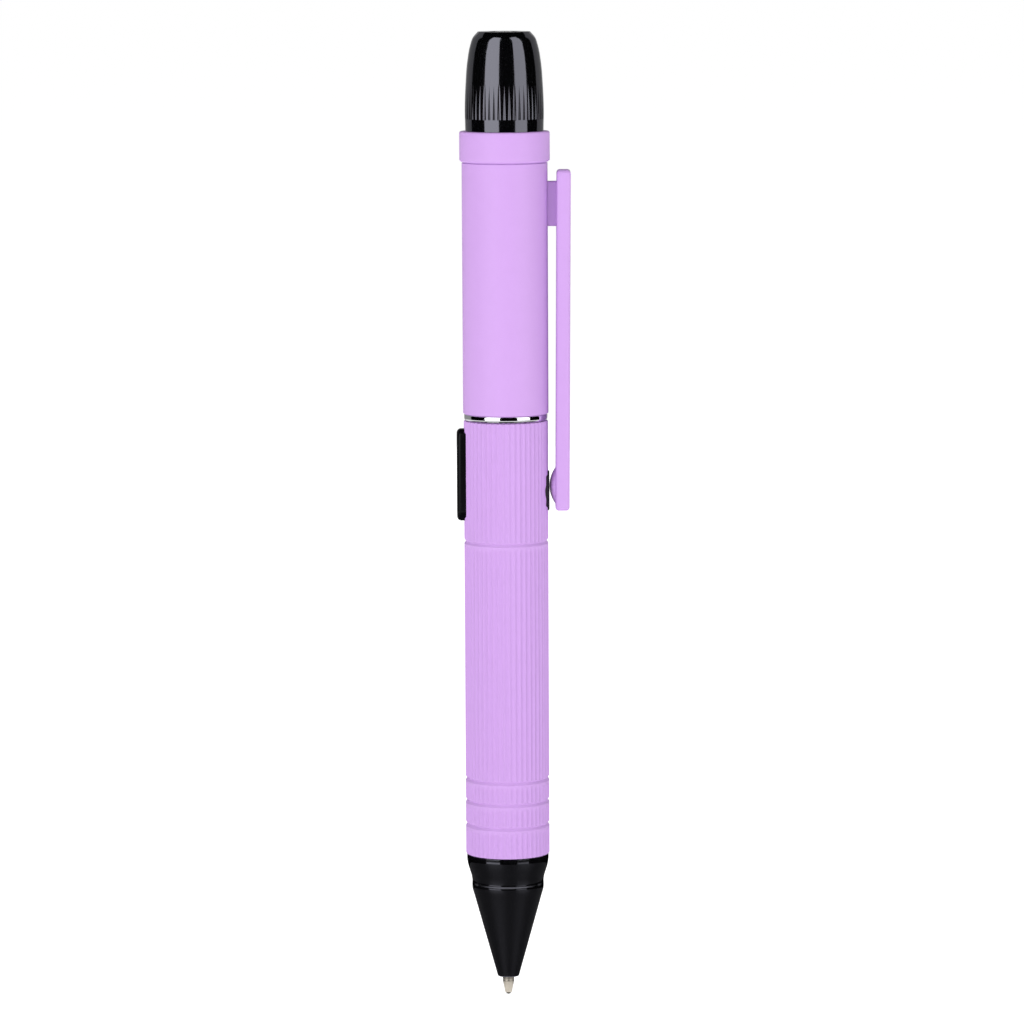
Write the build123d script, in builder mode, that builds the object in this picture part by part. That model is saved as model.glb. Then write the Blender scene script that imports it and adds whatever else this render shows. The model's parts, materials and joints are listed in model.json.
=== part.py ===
from build123d import *
from math import sqrt
import os

# A pen with an ultraviolet lamp in its head, for looking at banknotes.
# Millimetres. The origin is the lowest point of the writing ball, +Z runs up the
# axis to the lamp, +X points at the pocket clip and -X at the push button.

# standard parts that the pen is built round
refill_length = 67.0
refill_radius = 1.175
cell_length = 43.7
cell_radius = 5.1

# running fits and seats, all radial
slide_clearance = 0.05
thread_clearance = 0.05
seat_clearance = 0.03
chassis_clearance = 0.02
spigot_clearance = 0.02
loose_clearance = 0.1
seal_squeeze = 0.02
seal_groove_spare = 0.1

# walls, from the battery outwards
cell_clearance = 0.25
chassis_wall = 0.55
barrel_wall = 0.59
upper_wall = 0.65
collar_stand = 0.35
ring_inset = 0.06
bore_step = 0.67

# writing point and refill
ball_radius = 0.45
ball_show = 0.27
ball_clearance = 0.02
ball_lip_wall = 0.08
ink_hole_radius = 0.2
slim_point_radius = 0.885
slim_point_z = 2.1
slim_point_end_z = 6.1
refill_shoulder_length = 0.8
refill_neck_z = 10.0
refill_spigot_length = 4.0
refill_wall = 0.22
ink_gap = 17.0
grease_length = 4.0

# nose cone: heights, and how far it is drawn in from the barrel's surface
nose_tip_z = 2.9
nose_cone_end_z = 15.88
nose_band_z = (17.45, 18.4, 20.33)
nose_shoulder_z = 22.47
nose_shoulder_inset = 0.16
nose_flare_inset = 0.55
nose_band_inset = 0.94
nose_cone_inset = 1.31
nose_tip_wall = 0.65
nose_tip_round = 0.15
nose_point_clearance = 0.065
nose_bore_clearance = 0.125
nose_spigot_length = 7.03
nose_seal_rise = 1.3

# seals: section radius of each ring
nose_seal_section = 0.23
head_seal_section = 0.19
lens_seal_section = 0.35

# lower barrel: flutes and turned grooves
barrel_edge = 0.15
flute_count = 48
flute_cutter_radius = 0.35
flute_depth = 0.12
grip_groove_rises = (4.73, 8.43, 11.88)
waist_groove_drop = 18.65
groove_depth = 0.28
groove_half_width = 0.4

# refill socket
socket_grip = 7.0
socket_back = 5.55
socket_gap = 0.5
socket_hollow_radius = 3.4
socket_floor = 2.0

# push button on the -X side
button_length = 14.35
button_width = 3.4
button_proud = 1.09
button_edge = 0.45
button_travel = 0.45
button_clearance = 0.08
button_top_gap = 0.495
button_foot_gap = 1.155
flange_lip = 0.35
flange_thickness = 0.5
flange_gap = 0.14
pusher_radius = 1.0
pusher_length = 0.35
gasket_width = 0.2
gasket_gap = 0.05

# switch and its board
plunger_radius = 0.8
plunger_length = 0.95
plunger_clearance = 0.06
switch_depth = 2.6
switch_length = 6.0
switch_width = 3.6
switch_corner = 0.3
switch_gap = 0.55
switch_well_spare = 0.15
board_thickness = 0.8
board_side_gap = 0.86
board_end_gap = 0.6

# chassis: carries the board and joins the two barrels
chassis_web = 1.8
chassis_deck = 0.6
deck_drop = 0.35
spigot_reach = 7.3
chassis_edge = 0.25
window_side_gap = 0.2
window_end_gap = 0.2
web_top_gap = 1.1

# chrome ring
ring_height = 1.15
ring_round = 0.28

# negative contact and battery
contact_thickness = 0.3
contact_rivet_radius = 0.9
contact_hole_clearance = 0.05
contact_rivet_length = 0.8
spring_height = 1.6
spring_wire = 0.22
spring_radius = 3.0
spring_turns = 2
cell_edge = 0.35
terminal_radius = 1.9
terminal_height = 0.8

# clip rest pad on the +X side
pad_height = 6.2
pad_width = 4.4
pad_drop = 10.9
pad_rise = 0.19

# upper barrel and collar
upper_edge = 0.15
collar_height = 4.7
collar_step = 0.4
collar_lip = 0.5
collar_lip_clearance = 0.08
collar_chamfer = 0.3
collar_round = 0.35
cell_in_head = 2.05

# pocket clip
clip_drop = 1.28
clip_tail = 3.8
clip_gap_top = 1.37
clip_gap_bottom = 1.0
clip_thickness = 2.18
clip_width = 5.2
clip_end_radius = 0.55
clip_edge_radius = 0.4
post_drop = 3.0
post_length = 6.9
post_width = 1.8
post_root = 0.6
post_clearance = 0.08
bump_radius = 4.82
bump_width = 4.4
bump_rise = 0.7
bump_gap = 0.02

# head: how far its outline is drawn in, at shares of its height
head_step = 0.11
head_belly_swell = 0.05
head_outline = ((0.22, 0.0), (0.45, 0.12), (0.7, 0.42), (0.86, 0.86), (0.94, 1.28))
head_top_inset = 2.06
head_board_wall = 1.31
head_lamp_step = 0.7
head_top_wall = 1.6
head_spigot_length = 4.9
head_cell_clearance = 0.15
head_cell_room = 0.55
head_seal_drop = 2.1
grip_groove_count = 48
grip_groove_rise = 1.9
grip_groove_length = 5.4
grip_groove_depth = 0.22
grip_groove_half_width = 0.17

# lamp stack
terminal_gap = 0.05
contact_button_radius = 1.6
contact_button_height = 0.75
contact_button_round = 0.25
driver_thickness = 0.8
holder_height = 2.25
holder_wall = 0.85
holder_top = 1.0
lead_hole_radius = 0.4
lead_hole_offset = 2.4
led_board_thickness = 0.6
led_size = 3.5
led_base = 0.6
led_dome_radius = 1.3
reflector_height = 5.4
reflector_foot = 1.25
reflector_rim = 0.47
reflector_throat_clearance = 0.2
reflector_foot_gap = 0.1
reflector_bow = 0.3
lens_flange = 1.0
lens_stem_radius = 2.2
lens_dome = 0.35
lens_rise = 0.1
lens_hole_clearance = 0.06

# radii that follow
chassis_bore = cell_radius + cell_clearance
chassis_radius = chassis_bore + chassis_wall
rear_bore_radius = chassis_radius + chassis_clearance
front_bore_radius = rear_bore_radius - bore_step
barrel_radius = rear_bore_radius + barrel_wall
upper_bore_radius = chassis_radius + slide_clearance
upper_radius = upper_bore_radius + upper_wall
collar_radius = upper_radius + collar_stand
head_spigot_radius = upper_bore_radius - thread_clearance
head_base_radius = head_spigot_radius + head_step
head_belly_radius = head_base_radius + head_belly_swell
head_board_radius = head_base_radius - head_board_wall
head_lamp_radius = head_board_radius - head_lamp_step
stack_radius = head_board_radius - seat_clearance
lamp_radius = head_lamp_radius - seat_clearance

# heights that follow, from the writing point upwards
socket_top_z = refill_length + socket_back
bore_step_z = socket_top_z + socket_gap
window_z = bore_step_z + button_foot_gap - window_end_gap
button_centre_z = bore_step_z + button_foot_gap + flange_lip + button_length / 2
chassis_deck_z = button_centre_z + button_length / 2 + flange_lip + button_top_gap
deck_top_z = chassis_deck_z + chassis_deck
barrel_top_z = chassis_deck_z + deck_drop
barrel_length = barrel_top_z - nose_shoulder_z
ring_top_z = barrel_top_z + ring_height
cell_z = deck_top_z + contact_thickness + spring_height
cell_top_z = cell_z + cell_length
terminal_top_z = cell_top_z + terminal_height
collar_top_z = terminal_top_z - cell_in_head
collar_z = collar_top_z - collar_height
pad_centre_z = barrel_top_z - pad_drop
bump_centre_z = pad_centre_z + bump_rise
contact_z = terminal_top_z + terminal_gap
driver_z = contact_z + contact_button_height
holder_z = driver_z + driver_thickness
led_board_z = holder_z + holder_height
led_z = led_board_z + led_board_thickness
lens_z = led_z + reflector_height
lens_seat_z = lens_z + lens_flange + 2 * lens_seal_section
head_top_z = lens_seat_z + head_top_wall
head_height = head_top_z - collar_top_z
lens_top_z = head_top_z + lens_rise

os.makedirs("parts", exist_ok=True)

# refill: ball, point, tube, ink and grease

ball_z = ball_radius
socket_radius = ball_radius + ball_clearance
lip_radius = sqrt(socket_radius**2 - (ball_z - ball_show) ** 2)
socket_back_z = ball_z + sqrt(socket_radius**2 - ink_hole_radius**2)
tube_bore_radius = refill_radius - refill_wall
point_spigot_radius = tube_bore_radius - spigot_clearance
point_spigot_z = refill_neck_z + refill_spigot_length
ink_end_z = refill_length - ink_gap

with BuildPart() as refill_ball:
    with Locations((0, 0, ball_z)):
        Sphere(ball_radius)
refill_ball.part.label = "refill_ball"
export_step(refill_ball.part, "parts/refill_ball.step")

with BuildPart() as refill_point:
    with BuildSketch(Plane.XZ):
        with BuildLine():
            ThreePointArc(
                (lip_radius, ball_show),
                (socket_radius, ball_z),
                (ink_hole_radius, socket_back_z),
            )
            Polyline(
                (ink_hole_radius, socket_back_z),
                (ink_hole_radius, point_spigot_z),
                (point_spigot_radius, point_spigot_z),
                (point_spigot_radius, refill_neck_z),
                (refill_radius, refill_neck_z),
                (refill_radius, slim_point_end_z + refill_shoulder_length),
                (slim_point_radius, slim_point_end_z),
                (slim_point_radius, slim_point_z),
                (lip_radius + ball_lip_wall, ball_show),
                (lip_radius, ball_show),
            )
        make_face()
    revolve(axis=Axis.Z)
refill_point.part.label = "refill_point"
export_step(refill_point.part, "parts/refill_point.step")

with BuildPart() as refill_tube:
    with BuildSketch(Plane.XY.offset(refill_neck_z)):
        Circle(refill_radius)
        Circle(tube_bore_radius, mode=Mode.SUBTRACT)
    extrude(amount=refill_length - refill_neck_z)
refill_tube.part.label = "refill_tube"
export_step(refill_tube.part, "parts/refill_tube.step")

with BuildPart() as ink_column:
    with BuildSketch(Plane.XY.offset(point_spigot_z)):
        Circle(point_spigot_radius)
    extrude(amount=ink_end_z - point_spigot_z)
ink_column.part.label = "ink_column"
export_step(ink_column.part, "parts/ink_column.step")

with BuildPart() as grease_follower:
    with BuildSketch(Plane.XY.offset(ink_end_z)):
        Circle(point_spigot_radius)
    extrude(amount=grease_length)
grease_follower.part.label = "grease_follower"
export_step(grease_follower.part, "parts/grease_follower.step")

# nose cone: straight taper, rounded band and flare outside, stepped bore inside

nose_spigot_radius = front_bore_radius - thread_clearance
nose_spigot_z = nose_shoulder_z + nose_spigot_length
nose_point_bore = slim_point_radius + nose_point_clearance
nose_refill_bore = refill_radius + nose_bore_clearance
nose_seal_z = nose_shoulder_z + nose_seal_rise
nose_seal_radius = front_bore_radius - seal_squeeze - nose_seal_section
nose_seal_groove_radius = nose_seal_radius - nose_seal_section - seal_squeeze
nose_seal_groove_half = nose_seal_section + seal_groove_spare

with BuildPart() as nose_cone:
    with BuildSketch(Plane.XZ):
        with BuildLine():
            Polyline(
                (barrel_radius - nose_cone_inset, nose_cone_end_z),
                (nose_point_bore + nose_tip_wall, nose_tip_z),
                (nose_point_bore, nose_tip_z),
                (nose_point_bore, slim_point_end_z - loose_clearance),
                (nose_refill_bore, slim_point_end_z + refill_shoulder_length / 2),
                (nose_refill_bore, nose_spigot_z),
                (nose_spigot_radius, nose_spigot_z),
                (nose_spigot_radius, nose_seal_z + nose_seal_groove_half),
                (nose_seal_groove_radius, nose_seal_z + nose_seal_groove_half),
                (nose_seal_groove_radius, nose_seal_z - nose_seal_groove_half),
                (nose_spigot_radius, nose_seal_z - nose_seal_groove_half),
                (nose_spigot_radius, nose_shoulder_z),
                (barrel_radius - nose_shoulder_inset, nose_shoulder_z),
            )
            Spline(
                (barrel_radius - nose_shoulder_inset, nose_shoulder_z),
                (barrel_radius - nose_flare_inset, nose_band_z[2]),
                (barrel_radius - nose_band_inset, nose_band_z[1]),
                (barrel_radius - nose_band_inset, nose_band_z[0]),
                (barrel_radius - nose_cone_inset, nose_cone_end_z),
            )
        make_face()
    revolve(axis=Axis.Z)
    tip_rims = nose_cone.edges().filter_by(GeomType.CIRCLE).group_by(Axis.Z)[0]
    fillet(tip_rims.sort_by(SortBy.RADIUS)[-1], radius=nose_tip_round)
nose_cone.part.label = "nose_cone"
export_step(nose_cone.part, "parts/nose_cone.step")

with BuildPart() as nose_o_ring:
    with Locations((0, 0, nose_seal_z)):
        Torus(nose_seal_radius, nose_seal_section)
nose_o_ring.part.label = "nose_o_ring"
export_step(nose_o_ring.part, "parts/nose_o_ring.step")

# lower barrel: fluted tube with turned grooves, a window for the button and one for the pad

flute_centre = barrel_radius - flute_depth + flute_cutter_radius
groove_heights = [nose_shoulder_z + rise for rise in grip_groove_rises]
groove_heights.append(barrel_top_z - waist_groove_drop)
window_length = button_length + 2 * button_clearance
window_width = button_width + 2 * button_clearance

with BuildPart() as lower_barrel:
    with BuildSketch(Plane.XY.offset(nose_shoulder_z)):
        Circle(barrel_radius)
        with PolarLocations(flute_centre, flute_count):
            Circle(flute_cutter_radius, mode=Mode.SUBTRACT)
    extrude(amount=barrel_length)
    with BuildSketch(Plane.XZ):
        for groove_z in groove_heights:
            with BuildLine():
                Polyline(
                    (barrel_radius + groove_depth, groove_z - 2 * groove_half_width),
                    (barrel_radius - groove_depth, groove_z),
                    (barrel_radius + groove_depth, groove_z + 2 * groove_half_width),
                    close=True,
                )
            make_face()
        for end_z, inward in ((nose_shoulder_z, barrel_edge), (barrel_top_z, -barrel_edge)):
            with BuildLine():
                Polyline(
                    (barrel_radius - barrel_edge, end_z),
                    (barrel_radius + barrel_edge, end_z + 2 * inward),
                    (barrel_radius + barrel_edge, end_z - inward),
                    (barrel_radius - barrel_edge, end_z - inward),
                    close=True,
                )
            make_face()
    revolve(axis=Axis.Z, mode=Mode.SUBTRACT)
    with BuildSketch(Plane.XY.offset(nose_shoulder_z)):
        Circle(front_bore_radius)
    extrude(amount=barrel_length, mode=Mode.SUBTRACT)
    with BuildSketch(Plane.XY.offset(bore_step_z)):
        Circle(rear_bore_radius)
    extrude(amount=barrel_top_z - bore_step_z, mode=Mode.SUBTRACT)
    with BuildSketch(Plane.YZ):
        with Locations((0, button_centre_z)):
            SlotOverall(window_length, window_width, rotation=90)
    extrude(amount=-2 * barrel_radius, mode=Mode.SUBTRACT)
    with BuildSketch(Plane.YZ):
        with Locations((0, pad_centre_z)):
            Ellipse(pad_width / 2 + seat_clearance, pad_height / 2 + seat_clearance)
    extrude(amount=2 * barrel_radius, mode=Mode.SUBTRACT)
lower_barrel.part.label = "lower_barrel"
export_step(lower_barrel.part, "parts/lower_barrel.step")

with BuildPart() as clip_rest_pad:
    with BuildSketch(Plane.YZ):
        with Locations((0, pad_centre_z)):
            Ellipse(pad_width / 2, pad_height / 2)
    extrude(amount=2 * barrel_radius)
    with BuildSketch(Plane.XY.offset(pad_centre_z - pad_height)):
        Circle(barrel_radius + pad_rise)
        Circle(rear_bore_radius, mode=Mode.SUBTRACT)
    extrude(amount=2 * pad_height, mode=Mode.INTERSECT)
clip_rest_pad.part.label = "clip_rest_pad"
export_step(clip_rest_pad.part, "parts/clip_rest_pad.step")

with BuildPart() as refill_socket:
    with BuildSketch(Plane.XY.offset(refill_length - socket_grip)):
        Circle(front_bore_radius - seat_clearance)
    extrude(amount=socket_grip + socket_back)
    with BuildSketch(Plane.XY.offset(refill_length - socket_grip)):
        Circle(refill_radius + seat_clearance)
    extrude(amount=socket_grip, mode=Mode.SUBTRACT)
    with BuildSketch(Plane.XY.offset(refill_length + socket_floor)):
        Circle(socket_hollow_radius)
    extrude(amount=socket_back, mode=Mode.SUBTRACT)
refill_socket.part.label = "refill_socket"
export_step(refill_socket.part, "parts/refill_socket.step")

# push button: an oblong bar through the window, with a flange behind it

flange_half_width = button_width / 2 + flange_lip
flange_length = button_length + 2 * flange_lip
button_face_x = -(barrel_radius + button_proud)
flange_x = -(sqrt(rear_bore_radius**2 - flange_half_width**2) - flange_gap)
pusher_x = flange_x + flange_thickness
plunger_x = pusher_x + pusher_length
switch_x = plunger_x + switch_gap
board_x = switch_x + switch_depth
web_x = board_x + board_thickness

with BuildPart() as side_button:
    with BuildSketch(Plane.YZ.offset(button_face_x)):
        with Locations((0, button_centre_z)):
            SlotOverall(button_length, button_width, rotation=90)
    extrude(amount=flange_x - button_face_x)
    fillet(side_button.edges().group_by(Axis.X)[0], radius=button_edge)
    with BuildSketch(Plane.YZ.offset(flange_x)):
        with Locations((0, button_centre_z)):
            SlotOverall(flange_length, 2 * flange_half_width, rotation=90)
    extrude(amount=flange_thickness)
    with BuildSketch(Plane.YZ.offset(pusher_x)):
        with Locations((0, button_centre_z)):
            Circle(pusher_radius)
    extrude(amount=pusher_length)
side_button.part.label = "side_button"
export_step(side_button.part, "parts/side_button.step")

with BuildPart() as button_gasket:
    with BuildSketch(Plane.YZ.offset(-rear_bore_radius)):
        with Locations((0, button_centre_z)):
            SlotOverall(
                window_length + 2 * gasket_width,
                window_width + 2 * gasket_width,
                rotation=90,
            )
            SlotOverall(window_length, window_width, rotation=90, mode=Mode.SUBTRACT)
    extrude(amount=rear_bore_radius + flange_x - gasket_gap)
    with BuildSketch(Plane.XY.offset(button_centre_z - button_length)):
        Circle(rear_bore_radius)
    extrude(amount=2 * button_length, mode=Mode.INTERSECT)
button_gasket.part.label = "button_gasket"
export_step(button_gasket.part, "parts/button_gasket.step")

# switch: plunger that the button pushes, its body and the board behind it

with BuildPart() as tact_plunger:
    with BuildSketch(Plane.YZ.offset(plunger_x)):
        with Locations((0, button_centre_z)):
            Circle(plunger_radius)
    extrude(amount=plunger_length)
tact_plunger.part.label = "tact_plunger"
export_step(tact_plunger.part, "parts/tact_plunger.step")

plunger_well = plunger_length - switch_gap + button_travel + switch_well_spare

with BuildPart() as tact_switch_body:
    with BuildSketch(Plane.YZ.offset(switch_x)):
        with Locations((0, button_centre_z)):
            RectangleRounded(switch_width, switch_length, switch_corner)
    extrude(amount=switch_depth)
    with BuildSketch(Plane.YZ.offset(switch_x)):
        with Locations((0, button_centre_z)):
            Circle(plunger_radius + plunger_clearance)
    extrude(amount=plunger_well, mode=Mode.SUBTRACT)
tact_switch_body.part.label = "tact_switch_body"
export_step(tact_switch_body.part, "parts/tact_switch_body.step")

web_top_z = chassis_deck_z - web_top_gap
board_half_width = sqrt(chassis_bore**2 - board_x**2) - board_side_gap

with BuildPart() as switch_board:
    with BuildSketch(Plane.YZ.offset(board_x)):
        with Locations((0, (bore_step_z + web_top_z) / 2)):
            Rectangle(2 * board_half_width, web_top_z - bore_step_z - 2 * board_end_gap)
    extrude(amount=board_thickness)
switch_board.part.label = "switch_board"
export_step(switch_board.part, "parts/switch_board.step")

# chassis: a tube with a web for the board, a deck for the battery and a spigot on top

chassis_length = ring_top_z + spigot_reach - bore_step_z
wall_middle_radius = chassis_bore + chassis_wall / 2

with BuildPart() as chassis:
    with BuildSketch(Plane.XY.offset(bore_step_z)):
        Circle(chassis_radius)
        Circle(chassis_bore, mode=Mode.SUBTRACT)
    extrude(amount=chassis_length)
    top_rims = chassis.edges().group_by(Axis.Z)[-1]
    chamfer(top_rims.sort_by(SortBy.RADIUS)[-1], length=chassis_edge)
    with BuildSketch(Plane.XY.offset(bore_step_z)):
        with Locations((web_x + chassis_web / 2, 0)):
            Rectangle(chassis_web, 2 * chassis_radius)
        Circle(wall_middle_radius, mode=Mode.INTERSECT)
    extrude(amount=web_top_z - bore_step_z)
    with BuildSketch(Plane.XY.offset(chassis_deck_z)):
        Circle(wall_middle_radius)
        Circle(contact_rivet_radius + contact_hole_clearance, mode=Mode.SUBTRACT)
    extrude(amount=chassis_deck)
    with BuildSketch(Plane.YZ):
        with Locations((0, (window_z + chassis_deck_z) / 2)):
            Rectangle(
                2 * flange_half_width + 2 * window_side_gap,
                chassis_deck_z - window_z,
            )
    extrude(amount=-2 * chassis_radius, mode=Mode.SUBTRACT)
chassis.part.label = "chassis"
export_step(chassis.part, "parts/chassis.step")

# chrome ring between the two barrels

with BuildPart() as chrome_ring:
    with BuildSketch(Plane.XY.offset(barrel_top_z)):
        Circle(barrel_radius - ring_inset)
        Circle(chassis_radius + seat_clearance, mode=Mode.SUBTRACT)
    extrude(amount=ring_height)
    ring_rims = chrome_ring.edges().filter_by(GeomType.CIRCLE)
    fillet(ring_rims.sort_by(SortBy.RADIUS)[-2:], radius=ring_round)
chrome_ring.part.label = "chrome_ring"
export_step(chrome_ring.part, "parts/chrome_ring.step")

# negative contact, battery spring and battery

with BuildPart() as contact_disc:
    with BuildSketch(Plane.XY.offset(deck_top_z)):
        Circle(chassis_bore - loose_clearance)
    extrude(amount=contact_thickness)
    with BuildSketch(Plane.XY.offset(deck_top_z)):
        Circle(contact_rivet_radius)
    extrude(amount=-contact_rivet_length)
contact_disc.part.label = "contact_disc"
export_step(contact_disc.part, "parts/contact_disc.step")

coil_z = deck_top_z + contact_thickness + spring_wire
coil_height = spring_height - 2 * spring_wire

with BuildPart() as battery_spring:
    with BuildLine():
        coil = Helix(
            pitch=coil_height / spring_turns,
            height=coil_height,
            radius=spring_radius,
            center=(0, 0, coil_z),
        )
    with BuildSketch(Plane(origin=coil @ 0, z_dir=coil % 0)):
        Circle(spring_wire)
    sweep(is_frenet=True)
battery_spring.part.label = "battery_spring"
export_step(battery_spring.part, "parts/battery_spring.step")

with BuildPart() as battery_cell:
    with BuildSketch(Plane.XY.offset(cell_z)):
        Circle(cell_radius)
    extrude(amount=cell_length)
    fillet(battery_cell.edges().filter_by(GeomType.CIRCLE), radius=cell_edge)
battery_cell.part.label = "battery_cell"
export_step(battery_cell.part, "parts/battery_cell.step")

with BuildPart() as battery_terminal:
    with BuildSketch(Plane.XY.offset(cell_top_z)):
        Circle(terminal_radius)
    extrude(amount=terminal_height)
    fillet(battery_terminal.edges().group_by(Axis.Z)[-1], radius=cell_edge)
battery_terminal.part.label = "battery_terminal"
export_step(battery_terminal.part, "parts/battery_terminal.step")

# upper barrel, with a seat for the collar and a slot for the clip's root

collar_seat_radius = upper_radius - collar_step
upper_top_z = collar_top_z - collar_lip
post_top_z = collar_z - post_drop
post_centre_z = post_top_z - post_length / 2

with BuildPart() as upper_barrel:
    with BuildSketch(Plane.XY.offset(ring_top_z)):
        Circle(upper_radius)
    extrude(amount=collar_z - ring_top_z)
    fillet(upper_barrel.edges().group_by(Axis.Z)[0], radius=upper_edge)
    with BuildSketch(Plane.XY.offset(collar_z)):
        Circle(collar_seat_radius)
    extrude(amount=upper_top_z - collar_z)
    with BuildSketch(Plane.XY.offset(ring_top_z)):
        Circle(upper_bore_radius)
    extrude(amount=upper_top_z - ring_top_z, mode=Mode.SUBTRACT)
    with BuildSketch(Plane.YZ):
        with Locations((0, post_centre_z)):
            Rectangle(post_width + 2 * post_clearance, post_length + 2 * post_clearance)
    extrude(amount=2 * upper_radius, mode=Mode.SUBTRACT)
upper_barrel.part.label = "upper_barrel"
export_step(upper_barrel.part, "parts/upper_barrel.step")

with BuildPart() as top_collar:
    with BuildSketch(Plane.XY.offset(collar_z)):
        Circle(collar_radius)
        Circle(collar_seat_radius + seat_clearance, mode=Mode.SUBTRACT)
    extrude(amount=collar_height - collar_lip)
    with BuildSketch(Plane.XY.offset(upper_top_z)):
        Circle(collar_radius)
        Circle(upper_bore_radius + collar_lip_clearance, mode=Mode.SUBTRACT)
    extrude(amount=collar_lip)
    foot_rims = top_collar.edges().filter_by(GeomType.CIRCLE).group_by(Axis.Z)[0]
    chamfer(foot_rims.sort_by(SortBy.RADIUS)[-1], length=collar_chamfer)
    collar_rims = top_collar.edges().filter_by(GeomType.CIRCLE).group_by(Axis.Z)[-1]
    fillet(collar_rims.sort_by(SortBy.RADIUS)[-1], radius=collar_round)
top_collar.part.label = "top_collar"
export_step(top_collar.part, "parts/top_collar.step")

# pocket clip: bar, post and the domed bump that rests on the pad

clip_top_z = collar_z - clip_drop
clip_bottom_z = bump_centre_z - clip_tail
clip_top_x = upper_radius + clip_gap_top
clip_bottom_x = upper_radius + clip_gap_bottom
bump_tip_x = barrel_radius + pad_rise + bump_gap
bump_depth = clip_bottom_x + clip_thickness / 2 - bump_tip_x

with BuildPart() as clip_bump:
    with Locations((bump_tip_x + bump_radius, 0, bump_centre_z)):
        Sphere(bump_radius)
    with Locations((bump_tip_x + bump_depth / 2, 0, bump_centre_z)):
        Box(bump_depth, bump_width, 2 * bump_radius, mode=Mode.INTERSECT)

with BuildPart() as pocket_clip:
    with BuildSketch(Plane.XZ.offset(-clip_width / 2)) as clip_side:
        with BuildLine():
            Polyline(
                (clip_top_x, clip_top_z),
                (clip_top_x + clip_thickness, clip_top_z),
                (clip_bottom_x + clip_thickness, clip_bottom_z),
                (clip_bottom_x, clip_bottom_z),
                close=True,
            )
        make_face()
        fillet(clip_side.vertices(), radius=clip_end_radius)
    extrude(amount=clip_width)
    outer_face = pocket_clip.faces().filter_by(GeomType.PLANE).sort_by(Axis.X)[-1]
    fillet(outer_face.edges().filter_by(GeomType.LINE), radius=clip_edge_radius)
    with BuildSketch(Plane.YZ.offset(upper_radius - post_root)):
        with Locations((0, post_centre_z)):
            Rectangle(post_width, post_length)
    extrude(amount=post_root + clip_gap_top + clip_thickness / 2)
    add(clip_bump.part)
pocket_clip.part.label = "pocket_clip"
export_step(pocket_clip.part, "parts/pocket_clip.step")

# head: shell with grip grooves that run out upwards, and stepped bores for the lamp

head_cell_bore = cell_radius + head_cell_clearance
head_cell_top_z = terminal_top_z + head_cell_room
head_seal_z = collar_top_z - head_seal_drop
head_seal_radius = upper_bore_radius - seal_squeeze - head_seal_section
head_seal_groove_radius = head_seal_radius - head_seal_section - seal_squeeze
head_seal_groove_half = head_seal_section + seal_groove_spare
head_top_radius = head_belly_radius - head_top_inset
grip_groove_z = collar_top_z + grip_groove_rise
grip_groove_root = head_belly_radius - grip_groove_depth
outline_points = [(head_base_radius, collar_top_z)]
for share, inset in head_outline:
    outline_points.append((head_belly_radius - inset, collar_top_z + share * head_height))
outline_points.append((head_top_radius, head_top_z))

with BuildPart() as grip_cutter:
    for section_z, root in (
        (grip_groove_z, grip_groove_root),
        (grip_groove_z + grip_groove_length, head_belly_radius),
    ):
        with BuildSketch(Plane.XY.offset(section_z)):
            with BuildLine():
                Polyline(
                    (root, 0),
                    (root + 2 * grip_groove_depth, 2 * grip_groove_half_width),
                    (root + 2 * grip_groove_depth, -2 * grip_groove_half_width),
                    close=True,
                )
            make_face()
    loft()

with BuildPart() as head_shell:
    with BuildSketch(Plane.XZ):
        with BuildLine():
            Spline(*outline_points)
            Polyline(
                (head_top_radius, head_top_z),
                (lens_stem_radius + lens_hole_clearance, head_top_z),
                (lens_stem_radius + lens_hole_clearance, lens_seat_z),
                (head_lamp_radius, lens_seat_z),
                (head_lamp_radius, led_z),
                (head_board_radius, led_z),
                (head_board_radius, head_cell_top_z),
                (head_cell_bore, head_cell_top_z),
                (head_cell_bore, collar_top_z - head_spigot_length),
                (head_spigot_radius, collar_top_z - head_spigot_length),
                (head_spigot_radius, head_seal_z - head_seal_groove_half),
                (head_seal_groove_radius, head_seal_z - head_seal_groove_half),
                (head_seal_groove_radius, head_seal_z + head_seal_groove_half),
                (head_spigot_radius, head_seal_z + head_seal_groove_half),
                (head_spigot_radius, collar_top_z),
                (head_base_radius, collar_top_z),
            )
        make_face()
    revolve(axis=Axis.Z)
    with PolarLocations(0, grip_groove_count):
        add(grip_cutter.part, mode=Mode.SUBTRACT)
head_shell.part.label = "head_shell"
export_step(head_shell.part, "parts/head_shell.step")

with BuildPart() as head_o_ring:
    with Locations((0, 0, head_seal_z)):
        Torus(head_seal_radius, head_seal_section)
head_o_ring.part.label = "head_o_ring"
export_step(head_o_ring.part, "parts/head_o_ring.step")

# lamp stack, from the positive contact up to the lens

with BuildPart() as positive_contact:
    with BuildSketch(Plane.XY.offset(contact_z)):
        Circle(contact_button_radius)
    extrude(amount=contact_button_height)
    fillet(positive_contact.edges().group_by(Axis.Z)[0], radius=contact_button_round)
positive_contact.part.label = "positive_contact"
export_step(positive_contact.part, "parts/positive_contact.step")

with BuildPart() as driver_board:
    with BuildSketch(Plane.XY.offset(driver_z)):
        Circle(stack_radius)
    extrude(amount=driver_thickness)
driver_board.part.label = "driver_board"
export_step(driver_board.part, "parts/driver_board.step")

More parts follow.
